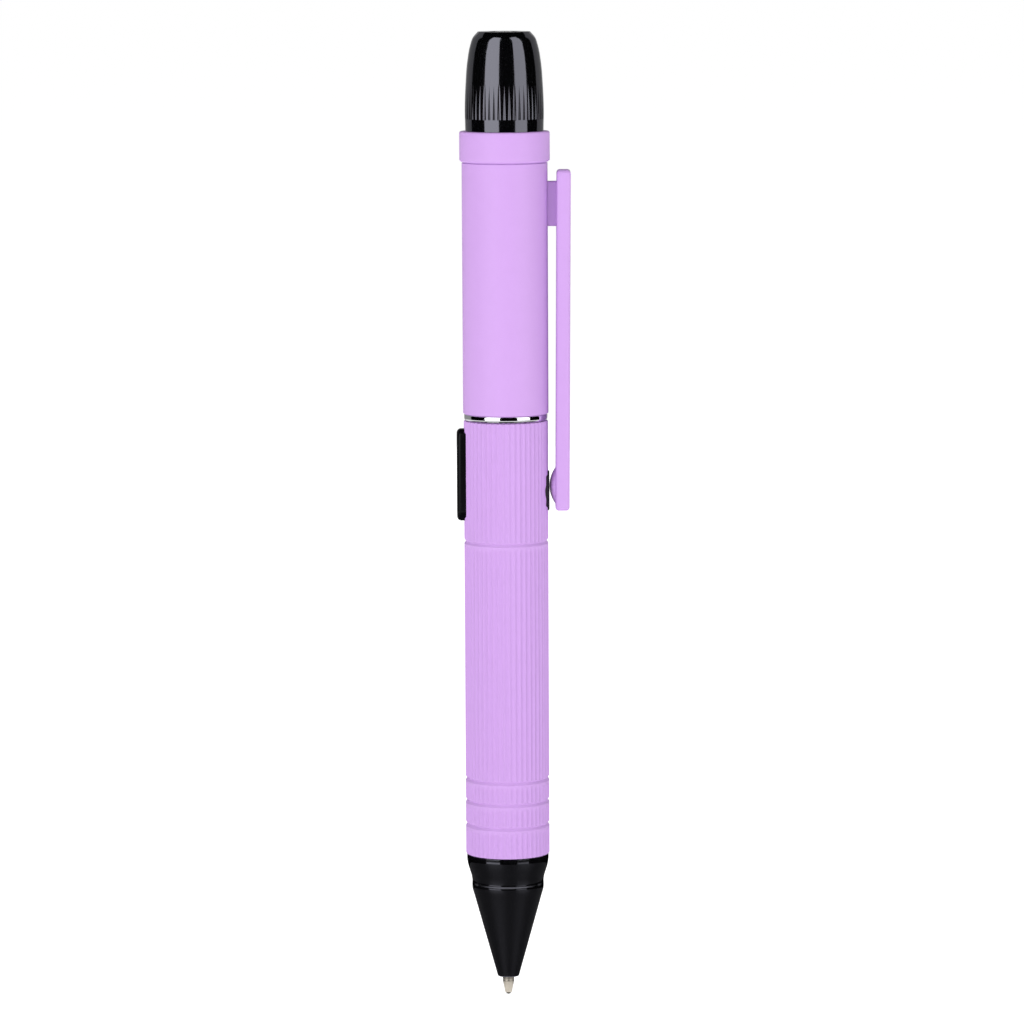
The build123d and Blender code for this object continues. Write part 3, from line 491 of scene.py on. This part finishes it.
def makeLowerBarrel():
    # r(a, z) = R - flute depth * ((1 + cos(48 a)) / 2)^power * fade(z), never more than the groove's
    # V or the rounded rims allow; then the stepped bore, and windows for the button and the pad
    low, high = span("lower_barrel")
    b = barrel
    bottom, top = low[2], high[2]
    # rows stand close together about each groove
    near = np.array([-2.0, -1.6, -1.35, -1.1, -0.9, -0.7, -0.55, -0.42, -0.38, -0.3, -0.2, -0.1, -0.04, 0.0,
                     0.04, 0.1, 0.2, 0.3, 0.38, 0.42, 0.6])
    front = np.arange(bottom + 1, b["boreStepZ"], b["frontStep"])
    rear = np.arange(b["boreStepZ"] + 0.5, top - 0.3, b["rearStep"])
    rims = [rimRows(bottom, b["rim"], 1), rimRows(top, b["rim"], -1)]
    rows = np.concatenate(rims + [z + near for z in b["grooves"]] + [front, rear])
    rows = np.unique(np.round(rows, 4))
    columns = b["flutes"] * b["perFlute"]
    angle = np.linspace(0, 2 * math.pi, columns, endpoint=False)
    scoop = (0.5 + 0.5 * np.cos(b["flutes"] * angle)) ** b["scoopPower"]
    grooveZ = np.array(b["grooves"])[:, None]
    under = grooveZ - b["grooveHalf"] - rows[None]
    fade = np.where(under > -b["grooveHalf"], smoothStep(under / b["fade"]), 1).min(axis=0)
    away = np.sqrt((rows[None] - grooveZ) ** 2 + b["grooveSoft"] ** 2)
    groove = (b["radius"] - b["grooveDepth"] * np.clip(1 - away / b["grooveHalf"], 0, 1)).min(axis=0)
    rim = b["radius"] - quarterRound(np.minimum(rows - bottom, top - rows), b["rim"])
    fluted = b["radius"] - b["fluteDepth"] * scoop[None] * fade[:, None]
    outer = np.minimum(fluted, np.minimum(groove, rim)[:, None])
    inner = np.array([(b["rearBore"], top), (b["rearBore"], b["boreStepZ"]),
                      (b["frontBore"], b["boreStepZ"]), (b["frontBore"], bottom)])
    radius = np.concatenate([outer, np.repeat(inner[:, :1], columns, axis=1)])
    height = np.concatenate([rows, inner[:, 1]])
    tube = gridMesh("barrelTube", turnedGrid(radius, height, columns), wrapRows=True)
    buttonLow, buttonHigh = span("side_button")
    buttonZ = (buttonLow[2] + buttonHigh[2]) / 2
    slot = roundedLoop(buttonSize["halfWide"] + b["gap"], buttonSize["halfLong"] + b["gap"],
                       buttonSize["halfWide"] + b["gap"], 0, 14)
    turn = np.linspace(0, 2 * math.pi, 64, endpoint=False)
    oval = np.stack([(padSize["halfWide"] + padSize["gap"]) * np.cos(turn),
                     (padSize["halfLong"] + padSize["gap"]) * np.sin(turn)], axis=-1)
    mesh = cutBy(tube, prismAlongX("slotCutter", slot, buttonZ, -cutReach[1], -cutReach[0]),
                 prismAlongX("ovalCutter", oval, padSize["centreZ"], cutReach[0], cutReach[1]))
    place("lowerBarrel", mesh, "barrel", ["lower_barrel"], finishes["lavender_fluted"])


def makeButton():
    # stadium loops stacked inwards along X: rounded front edge, straight wall and flange
    low, high = span("side_button")
    s = buttonSize
    front = low[0]
    centreZ = (low[2] + high[2]) / 2
    depths = rimRows(front, s["edge"], 1, 8)
    insets = quarterRound(depths - front, s["edge"])
    flangeX = high[0] - s["flangeBack"] - s["backGap"]
    stations = [(x, inset) for x, inset in zip(depths, insets)]
    stations += [(flangeX, 0.0), (flangeX, -s["flange"]), (flangeX + s["flangeBack"], -s["flange"])]
    grid = []
    for x, inset in stations:
        loop = roundedLoop(s["halfWide"], s["halfLong"], s["halfWide"], inset, 14)
        grid.append(np.stack([np.full(len(loop), x), loop[:, 0], loop[:, 1] + centreZ], axis=-1))
    mesh = gridMesh("sideButton", np.stack(grid), capEnds=True)
    place("sideButton", mesh, "button", ["side_button"], finishes["black_button"])


def makePad():
    # an oval patch of a cylinder: rings of the oval scaled by s, whose radius rises from the bore
    # to a softly rounded rim and a face that follows the barrel
    p = padSize
    turn = np.linspace(0, 2 * math.pi, 96, endpoint=False)
    rim = np.linspace(0, math.pi / 2, 6)
    face = barrel["radius"] + p["rise"]
    scale = np.concatenate([[0.0, 0.5, 1.0], 1 - p["rimIn"] * (1 - np.cos(rim)), [0.6, 0.3, 0.0]])
    radius = np.concatenate([[barrel["rearBore"]] * 3, face - p["rimDrop"] * (1 - np.sin(rim)), [face] * 3])
    y = p["halfWide"] * scale[:, None] * np.cos(turn)
    z = p["halfLong"] * scale[:, None] * np.sin(turn) + p["centreZ"]
    x = np.sqrt(radius[:, None] ** 2 - y ** 2)
    mesh = gridMesh("clipRestPad", np.stack([x, y, z], axis=-1))
    place("clipRestPad", mesh, "barrel", ["clip_rest_pad"], finishes["black_rubber"], 50)


makeLowerBarrel()
makeButton()
makePad()
print("stage: lower barrel made")

ringSize = {"columns": 256, "under": 0.55, "over": 0.3, "bore": 5.93}
upper = {"columns": 256, "rim": 0.15, "bore": 5.95, "seat": 6.2, "slotHalfWide": 0.98, "slotHalfLong": 3.53,
         "slotRound": 0.2, "slotZ": 123.55, "reliefRadius": 6.4, "reliefLong": 0.17}
collar = {"columns": 256, "foot": 0.3, "round": 0.35, "bore": 6.23, "lipBore": 6.03, "lip": 0.5}


def makeRing():
    # four corners turned round the axis, the outer two bridged by parabolas: more below than above
    low, high = span("chrome_ring")
    s = ringSize
    outline = softCorners([(s["bore"], low[2], 0.02), (high[0], low[2], s["under"]),
                           (high[0], high[2], s["over"]), (s["bore"], high[2], 0.02)], 15)
    mesh = gridMesh("chromeRing", turnedGrid(outline[:, 0], outline[:, 1], s["columns"]), wrapRows=True)
    place("chromeRing", mesh, "barrel", ["chrome_ring"], finishes["chrome"], 60)


def makeUpperBarrel():
    # tube outline turned round the axis: wide bore, rounded foot, a narrow relief groove under the
    # collar and the thinner seat inside it, less a slot for the clip's post
    low, high = span("upper_barrel")
    u = upper
    collarFoot = span("top_collar")[0][2]
    outline = softCorners([(u["bore"], low[2], 0.02), (high[1], low[2], u["rim"]),
                           (high[1], collarFoot - u["reliefLong"], 0.03),
                           (u["reliefRadius"], collarFoot - u["reliefLong"], 0.02),
                           (u["reliefRadius"], collarFoot, 0.02), (u["seat"], collarFoot, 0.02),
                           (u["seat"], high[2], 0.05), (u["bore"], high[2], 0.02)], 7)
    tube = gridMesh("upperTube", turnedGrid(outline[:, 0], outline[:, 1], u["columns"]), wrapRows=True)
    slot = roundedLoop(u["slotHalfWide"], u["slotHalfLong"], u["slotRound"], 0, 6)
    mesh = cutBy(tube, prismAlongX("rootCutter", slot, u["slotZ"], *cutReach))
    place("upperBarrel", mesh, "upper", ["upper_barrel"], finishes["lavender_smooth"])


def makeCollar():
    # outline turned round the axis: slanted foot, straight wall, round top and an inner lip
    low, high = span("top_collar")
    c = collar
    outline = softCorners([(c["bore"], low[2], 0.02), (high[0] - c["foot"], low[2], 0.04),
                           (high[0], low[2] + c["foot"], 0.06), (high[0], high[2], c["round"]),
                           (c["lipBore"], high[2], 0.02), (c["lipBore"], high[2] - c["lip"], 0.01),
                           (c["bore"], high[2] - c["lip"], 0.01)], 9)
    mesh = gridMesh("topCollar", turnedGrid(outline[:, 0], outline[:, 1], c["columns"]), wrapRows=True)
    place("topCollar", mesh, "upper", ["top_collar"], finishes["lavender_smooth"])


makeRing()
makeUpperBarrel()
makeCollar()
print("stage: upper barrel made")

clip = {"topZ": 128.72, "bottomZ": 76.25, "topX": 7.97, "bottomX": 7.6, "thick": 2.18,
        "halfWide": 2.6, "end": 0.55, "endRun": 2, "edge": 0.42, "postZ": (120.1, 127.0),
        "postHalfWide": 0.9, "postRound": 0.3, "postRoot": 6.0, "bumpRadius": 4.82, "bumpTip": 6.71,
        "bumpZ": 79.93, "bumpHalfWide": 2.2, "bumpSweep": 0.95, "bumpRings": 28}


def closeEnds(mesh):
    # fills each open rim with one flat face
    work = bmesh.new()
    work.from_mesh(mesh)
    bmesh.ops.holes_fill(work, edges=[e for e in work.edges if e.is_boundary])
    bmesh.ops.recalc_face_normals(work, faces=work.faces)
    work.to_mesh(mesh)
    work.free()


def makeClipBar():
    # rounded loops stacked along Z, drawn in at both ends and moved in X with the bar's lean
    c = clip
    ends = rimRows(0, c["end"], 1, 9)
    middle = np.linspace(c["bottomZ"] + c["endRun"], c["topZ"] - c["endRun"], 14)
    rows = np.concatenate([c["bottomZ"] + ends, middle, (c["topZ"] - ends)[::-1]])
    insets = quarterRound(np.minimum(rows - c["bottomZ"], c["topZ"] - rows), c["end"])
    grid = []
    for z, inset in zip(rows, insets):
        loop = roundedLoop(c["thick"] / 2, c["halfWide"], c["edge"], inset, 9)
        lean = c["bottomX"] + (c["topX"] - c["bottomX"]) * (z - c["bottomZ"]) / (c["topZ"] - c["bottomZ"])
        grid.append(np.stack([loop[:, 0] + lean + c["thick"] / 2, loop[:, 1], np.full(len(loop), z)],
                             axis=-1))
    bar = gridMesh("clipBar", np.stack(grid), capEnds=True)
    place("clipBar", bar, "clip", ["pocket_clip"], finishes["lavender_clip"], 40)


def makeClipPost():
    # a rounded loop carried straight out from the barrel's wall into the bar
    c = clip
    low, high = c["postZ"]
    loop = roundedLoop(c["postHalfWide"], (high - low) / 2, c["postRound"], 0, 8)
    post = prismAlongX("clipPost", loop, (high + low) / 2, c["postRoot"], c["topX"] + c["thick"] / 2)
    place("clipPost", post, "clip", ["pocket_clip"], finishes["lavender_clip"], 40)


def makeClipBump():
    # rings of a ball stacked along X from its tip, their width held inside the bar by
    # y / (1 + |y / w|^8)^(1/8)
    c = clip
    depth = (1 - np.cos(np.linspace(0, c["bumpSweep"], c["bumpRings"]))) * c["bumpRadius"]
    reach = np.sqrt(np.maximum(c["bumpRadius"] ** 2 - (c["bumpRadius"] - depth) ** 2, 0))
    keep = depth < c["bottomX"] + c["thick"] / 2 - c["bumpTip"]
    depth, reach = depth[keep][:, None], reach[keep][:, None]
    turn = np.linspace(0, 2 * math.pi, 96, endpoint=False)
    y = reach * np.cos(turn)
    y = y / (1 + np.abs(y / c["bumpHalfWide"]) ** 8) ** 0.125
    z = reach * np.sin(turn) + c["bumpZ"]
    x = np.repeat(depth + c["bumpTip"], len(turn), axis=1)
    bump = gridMesh("clipBump", np.stack([x, y, z], axis=-1))
    closeEnds(bump)
    place("clipBump", bump, "clip", ["pocket_clip"], finishes["lavender_clip"], 40)


makeClipBar()
makeClipPost()
makeClipBump()
print("stage: clip made")

head = {"grooves": 48, "grooveFoot": 1.9, "grooveLong": 5.4, "grooveDepth": 0.085, "grooveHalf": 0.22,
        "groovePower": 0.6, "leastHalf": 0.01,
        "outline": [(6.01, 0.0), (6.06, 0.22), (5.94, 0.45), (5.64, 0.7), (5.2, 0.86), (4.78, 0.94),
                    (4.0, 1.0)],
        "hole": 2.26, "holeEdge": 0.08, "seatZ": 148.3, "lampBore": 4.0, "ledZ": 141.2, "boardBore": 4.7,
        "cellTopZ": 137.3, "cellBore": 5.25, "spigot": 5.9, "spigotEdge": 0.15, "sealZ": (132.31, 132.89),
        "sealRadius": 5.53}


def makeHead():
    # the outline turned round the axis; each groove is a scoop that is widest and deepest at its
    # foot and runs out upwards: r = R(z) - depth * share(z) * (1 + cos(pi t)) / 2, where t goes
    # from -1 to 1 across the groove, so the columns lean with its edges
    h = head
    foot = span("top_collar")[1][2]
    low, high = span("head_shell")
    tall = high[2] - foot
    skin = curveThrough([(r, foot + share * tall) for r, share in h["outline"]], 64)
    grooveLow = foot + h["grooveFoot"]
    climb = grooveLow + h["grooveLong"] * np.linspace(0, 1, 25) ** 1.5
    rows = np.concatenate([skin[:, 1], grooveLow + [-0.02, 0.0], climb])
    rows = np.unique(np.round(rows, 4))
    skinRadius = np.interp(rows, skin[:, 1], skin[:, 0])
    pitch = 2 * math.pi / h["grooves"]
    share = np.clip(1 - (rows - grooveLow) / h["grooveLong"], 0, 1)
    openShare = (rows >= grooveLow - 0.001) * share
    halfTurn = np.maximum(h["grooveHalf"] * share ** h["groovePower"], h["leastHalf"]) / skinRadius
    inGroove = np.linspace(-1, 1, 9)
    onLand = np.array([0.25, 0.5, 0.75])
    local = np.concatenate([halfTurn[:, None] * inGroove,
                            halfTurn[:, None] + (pitch - 2 * halfTurn[:, None]) * onLand], axis=1)
    scoop = openShare[:, None] * (0.5 + 0.5 * np.cos(math.pi * inGroove))
    depth = np.concatenate([scoop, np.zeros((len(rows), len(onLand)))], axis=1)
    turn = np.arange(h["grooves"]) * pitch
    angle = (turn[None, :, None] + local[:, None, :]).reshape(len(rows), -1)
    outer = skinRadius[:, None] - h["grooveDepth"] * np.tile(depth, (1, h["grooves"]))
    columns = angle.shape[1]
    inner = np.array([(h["hole"] + h["holeEdge"], high[2]), (h["hole"], high[2] - h["holeEdge"]),
                      (h["hole"], h["seatZ"]), (h["lampBore"], h["seatZ"]), (h["lampBore"], h["ledZ"]),
                      (h["boardBore"], h["ledZ"]), (h["boardBore"], h["cellTopZ"]),
                      (h["cellBore"], h["cellTopZ"]), (h["cellBore"], low[2]),
                      (h["spigot"] - h["spigotEdge"], low[2]), (h["spigot"], low[2] + h["spigotEdge"]),
                      (h["spigot"], h["sealZ"][0]), (h["sealRadius"], h["sealZ"][0]),
                      (h["sealRadius"], h["sealZ"][1]), (h["spigot"], h["sealZ"][1]), (h["spigot"], foot)])
    radius = np.concatenate([outer, np.repeat(inner[:, :1], columns, axis=1)])
    height = np.concatenate([rows, inner[:, 1]])
    turned = np.concatenate([angle, np.repeat(angle[-1:], len(inner), axis=0)])
    level = np.repeat(height[:, None], columns, axis=1)
    grid = np.stack([radius * np.cos(turned), radius * np.sin(turned), level], axis=-1)
    mesh = gridMesh("headShell", grid, wrapRows=True)
    place("headShell", mesh, "head", ["head_shell"], finishes["black_gloss"], 28)


lens = {"columns": 128, "stem": 2.2, "dome": 0.35, "flange": 1.0}


def makeLens():
    # shallow ball dome on a stem over a flat flange, closed at both poles
    low, high = span("lens")
    s = lens
    ballRadius = (s["stem"] ** 2 + s["dome"] ** 2) / (2 * s["dome"])
    tilt = np.linspace(0, math.asin(s["stem"] / ballRadius), 20)
    dome = np.stack([ballRadius * np.sin(tilt), high[2] - ballRadius * (1 - np.cos(tilt))], axis=-1)
    rest = np.array([(s["stem"], low[2] + s["flange"]), (high[0], low[2] + s["flange"]), (high[0], low[2]),
                     (0.0, low[2])])
    outline = np.concatenate([dome, rest])
    mesh = gridMesh("lampLens", turnedGrid(outline[:, 0], outline[:, 1], s["columns"]))
    place("lampLens", mesh, "head", ["lens"], finishes["lens_glass"])


makeHead()
makeLens()
print("stage: head made")

inside = {
    "refill_tube": "refill_metal", "ink_column": "ink", "grease_follower": "grease",
    "refill_socket": "black_plastic", "nose_o_ring": "black_rubber", "button_gasket": "black_rubber",
    "tact_plunger": "black_plastic", "tact_switch_body": "black_plastic",
    "switch_board": "green_board", "chassis": "black_plastic", "contact_disc": "contact_metal",
    "battery_spring": "spring_steel", "battery_cell": "cell_jacket",
    "battery_terminal": "contact_metal", "head_o_ring": "black_rubber",
    "positive_contact": "contact_metal", "driver_board": "green_board", "led_holder": "holder_brass",
    "led_board": "white_board", "led": "led_resin", "reflector": "reflector_metal",
    "lens_o_ring": "black_rubber",
}


def smoothInside(node, slot):
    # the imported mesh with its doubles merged, so that round faces shade smoothly
    source = frame["nodes"][node]
    mesh = source.data.copy()
    work = bmesh.new()
    work.from_mesh(mesh)
    bmesh.ops.remove_doubles(work, verts=work.verts, dist=2e-6)
    work.to_mesh(mesh)
    work.free()
    place(node + "Smooth", mesh, source["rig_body"], [node], finishes[slot], 35)


for node, slot in inside.items():
    smoothInside(node, slot)
print("stage: inner pieces made")

studio = {"distance": 800, "height": 170, "lookDown": 6.713, "aside": 0.89, "roll": -0.273, "lens": 183.05,
          "ambient": 0.3, "mirrored": 0.0, "floorRadius": 9000, "floorTone": 0.93, "floorRough": 0.9,
          "floorGlow": 0.72, "sensor": 36}
# softboxes: direction from the pen (0 is towards the camera, positive to the right) at both sides,
# lowest and highest edge, distance, and brightness
softboxes = {
    "keyLeft": {"from": -60, "to": -16, "foot": 0, "top": 1300, "away": 600, "bright": 1.9},
    "keyRight": {"from": 32, "to": 70, "foot": 0, "top": 1300, "away": 600, "bright": 1.5},
    "rearRight": {"from": 112, "to": 150, "foot": -100, "top": 900, "away": 800, "bright": 0.28},
    "rearLeft": {"from": -150, "to": -112, "foot": -100, "top": 900, "away": 800, "bright": 0.28},
    "backdrop": {"from": 152, "to": 208, "foot": -100, "top": 900, "away": 820, "bright": 0.45},
}
# light lying on the floor that only polished surfaces see: radii, directions and strength
floorGlows = {
    "underRing": {"inside": 170, "outside": 400, "start": -180, "stop": 180, "strength": 0.8},
    "underPoint": {"inside": 0.6, "outside": 4.5, "start": -180, "stop": 180, "strength": 0.8},
    "underCone": {"inside": 4.6, "outside": 74, "start": -180, "stop": 180, "strength": 0.035},
    "bandLeft": {"inside": 78, "outside": 115, "start": -62, "stop": -22, "strength": 0.7},
    "bandRight": {"inside": 78, "outside": 115, "start": 26, "stop": 60, "strength": 0.3},
}


def glowRing(name, inside, outside, start, stop, strength):
    # a flat strip between two circles about the pen, from one direction to another
    turn = np.radians(np.linspace(start, stop, 65)) - math.pi / 2
    circle = np.stack([np.cos(turn), np.sin(turn), 0 * turn], axis=-1)
    index = np.arange(len(turn) - 1)
    faces = np.stack([index, index + len(turn), index + len(turn) + 1, index + 1], axis=-1)
    mesh = bpy.data.meshes.new(name)
    mesh.from_pydata((np.concatenate([circle * inside, circle * outside]) * mm).tolist(), [], faces.tolist())
    ring = bpy.data.objects.new(name, mesh)
    bpy.context.scene.collection.objects.link(ring)
    ring.location.z = 0.1 * mm
    ring.visible_camera = ring.visible_diffuse = ring.visible_shadow = False
    glow = bpy.data.materials.new(name)
    glow.use_nodes = True
    shader = glow.node_tree.nodes["Principled BSDF"]
    shader.inputs["Base Color"].default_value = (0, 0, 0, 1)
    shader.inputs["Emission Color"].default_value = (1, 1, 1, 1)
    shader.inputs["Emission Strength"].default_value = strength
    mesh.materials.append(glow)


def makeStudio():
    # a round pale floor, softboxes that face the pen, and air that is white to the camera and dim
    # to everything else; a softbox spans its two directions, so its width is 2 away tan(half)
    turn = np.linspace(0, 2 * math.pi, 96, endpoint=False)
    floorMesh = bpy.data.meshes.new("studioFloor")
    ring = np.stack([np.cos(turn), np.sin(turn), 0 * turn], axis=-1) * studio["floorRadius"] * mm
    floorMesh.from_pydata(ring.tolist(), [], [list(range(len(turn)))])
    floor = bpy.data.objects.new("studioFloor", floorMesh)
    bpy.context.scene.collection.objects.link(floor)
    floor.visible_glossy = False
    paper = bpy.data.materials.new("paleFloor")
    paper.use_nodes = True
    shader = paper.node_tree.nodes["Principled BSDF"]
    shader.inputs["Base Color"].default_value = [studio["floorTone"]] * 3 + [1]
    shader.inputs["Roughness"].default_value = studio["floorRough"]
    shader.inputs["Specular IOR Level"].default_value = 0.0
    shader.inputs["Emission Color"].default_value = (1, 1, 1, 1)
    shader.inputs["Emission Strength"].default_value = studio["floorGlow"]
    floorMesh.materials.append(paper)
    for name, glow in floorGlows.items():
        glowRing(name, **glow)
    for name, box in softboxes.items():
        lamp = bpy.data.lights.new(name, "AREA")
        middle = math.radians((box["from"] + box["to"]) / 2)
        half = math.radians((box["to"] - box["from"]) / 2)
        lamp.shape = "RECTANGLE"
        lamp.size = 2 * box["away"] * math.tan(half) * mm
        lamp.size_y = (box["top"] - box["foot"]) * mm
        lamp.energy = box["bright"] * math.pi * lamp.size * lamp.size_y
        holder = bpy.data.objects.new(name, lamp)
        bpy.context.scene.collection.objects.link(holder)
        direction = Vector((math.sin(middle), -math.cos(middle), 0))
        holder.location = direction * box["away"] * mm + Vector((0, 0, (box["top"] + box["foot"]) / 2 * mm))
        holder.rotation_euler = direction.to_track_quat("Z", "Y").to_euler()
        holder.visible_camera = False
    world = bpy.data.worlds.new("studioAir")
    bpy.context.scene.world = world
    world.use_nodes = True
    world.cycles.sampling_method = "NONE"
    tree = world.node_tree
    path = tree.nodes.new("ShaderNodeLightPath")
    seen = path.outputs["Is Camera Ray"]
    mirrored = mathNode(tree, "MULTIPLY", path.outputs["Is Glossy Ray"],
                        studio["ambient"] - studio["mirrored"])
    indirect = mathNode(tree, "SUBTRACT", studio["ambient"], mirrored)
    strength = mathNode(tree, "MAXIMUM", seen, indirect)
    tree.links.new(strength, tree.nodes["Background"].inputs["Strength"])
    tree.nodes["Background"].inputs["Color"].default_value = (1, 1, 1, 1)


def makeCamera():
    # stands in front of the pen, looks down by one angle and is rolled by another
    camera = bpy.data.objects.new("camera", bpy.data.cameras.new("camera"))
    bpy.context.scene.collection.objects.link(camera)
    camera.data.lens = studio["lens"]
    camera.data.sensor_width = studio["sensor"]
    camera.data.clip_end = 50
    camera.location = Vector((studio["aside"], -studio["distance"], studio["height"])) * mm
    tilt = Matrix.Rotation(math.radians(90 - studio["lookDown"]), 4, "X")
    roll = Matrix.Rotation(math.radians(studio["roll"]), 4, "Z")
    camera.rotation_euler = (tilt @ roll).to_euler()
    bpy.context.scene.camera = camera


makeStudio()
makeCamera()
print("stage: studio made")
